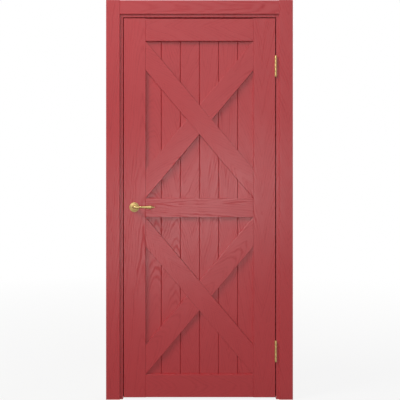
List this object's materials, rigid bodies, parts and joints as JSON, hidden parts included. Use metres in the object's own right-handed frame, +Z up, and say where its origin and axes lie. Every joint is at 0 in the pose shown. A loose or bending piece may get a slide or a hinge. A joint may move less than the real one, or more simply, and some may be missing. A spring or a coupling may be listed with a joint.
{
  "type": "interior door",
  "caption": "Red painted plank door with crossed braces, hung on hinges in its jambs with casings on both sides, with a lever handle and a latch.",
  "frame": {"origin": "on the floor, under the middle of the closed leaf", "axes": "+X to the right as seen from the braced face, +Y away from that viewer, +Z up"},
  "size_m": [0.984, 0.1494, 2.1055],
  "materials": {
    "painted_ash": "satin",
    "polished_brass": "polished",
    "zinc_steel": "satin",
    "seal_rubber": "matte"
  },
  "bodies": {
    "frame": {"lock_jamb": "painted_ash", "hinge_jamb": "painted_ash", "head_jamb": "painted_ash", "lock_stop": "painted_ash", "hinge_stop": "painted_ash", "head_stop": "painted_ash", "lock_seal": "seal_rubber", "hinge_seal": "seal_rubber", "head_seal": "seal_rubber", "corner_screws": "zinc_steel", "front_lock_casing": "painted_ash", "front_hinge_casing": "painted_ash", "front_head_casing": "painted_ash", "back_lock_casing": "painted_ash", "back_hinge_casing": "painted_ash", "back_head_casing": "painted_ash", "upper_hinge_frame_plate": "polished_brass", "lower_hinge_frame_plate": "polished_brass", "upper_hinge_pin": "polished_brass", "lower_hinge_pin": "polished_brass", "strike_plate": "polished_brass", "frame_screws": "polished_brass"},
    "door_leaf": {"lock_stile": "painted_ash", "hinge_stile": "painted_ash", "top_rail": "painted_ash", "middle_rail": "painted_ash", "bottom_rail": "painted_ash", "upper_board_1": "painted_ash", "upper_board_2": "painted_ash", "upper_board_3": "painted_ash", "upper_board_4": "painted_ash", "upper_board_5": "painted_ash", "upper_board_6": "painted_ash", "lower_board_1": "painted_ash", "lower_board_2": "painted_ash", "lower_board_3": "painted_ash", "lower_board_4": "painted_ash", "lower_board_5": "painted_ash", "lower_board_6": "painted_ash", "upper_long_brace": "painted_ash", "upper_brace_top_half": "painted_ash", "upper_brace_bottom_half": "painted_ash", "lower_long_brace": "painted_ash", "lower_brace_top_half": "painted_ash", "lower_brace_bottom_half": "painted_ash", "upper_hinge_leaf_plate": "polished_brass", "lower_hinge_leaf_plate": "polished_brass", "leaf_screws": "polished_brass", "latch_faceplate": "polished_brass", "front_rose": "polished_brass", "back_rose": "polished_brass", "latch_case": "zinc_steel", "latch_lid": "zinc_steel"},
    "handle": {"front_lever": "polished_brass", "back_lever": "polished_brass", "spindle": "zinc_steel", "latch_follower": "zinc_steel", "grub_screws": "zinc_steel"},
    "latch": {"latch_bolt": "polished_brass"}
  },
  "joints": [
    {"name": "door_swing", "type": "hinge", "parent": "frame", "child": "door_leaf", "pos_m": [0.402, -0.0257, 0], "axis": [0, 0, 1], "range_deg": [0, 165]},
    {"name": "lever_turn", "type": "hinge", "parent": "door_leaf", "child": "handle", "pos_m": [-0.344, 0, 1.0135], "axis": [0, 1, 0], "range_deg": [0, 40], "stiffness_Nm_per_rad": 1.5, "springref_deg": -28.65},
    {"name": "latch_slide", "type": "slide", "parent": "door_leaf", "child": "latch", "axis": [-1, 0, 0], "range_m": [0, 0.01], "stiffness_N_per_m": 60, "springref_m": -0.01}
  ]
}
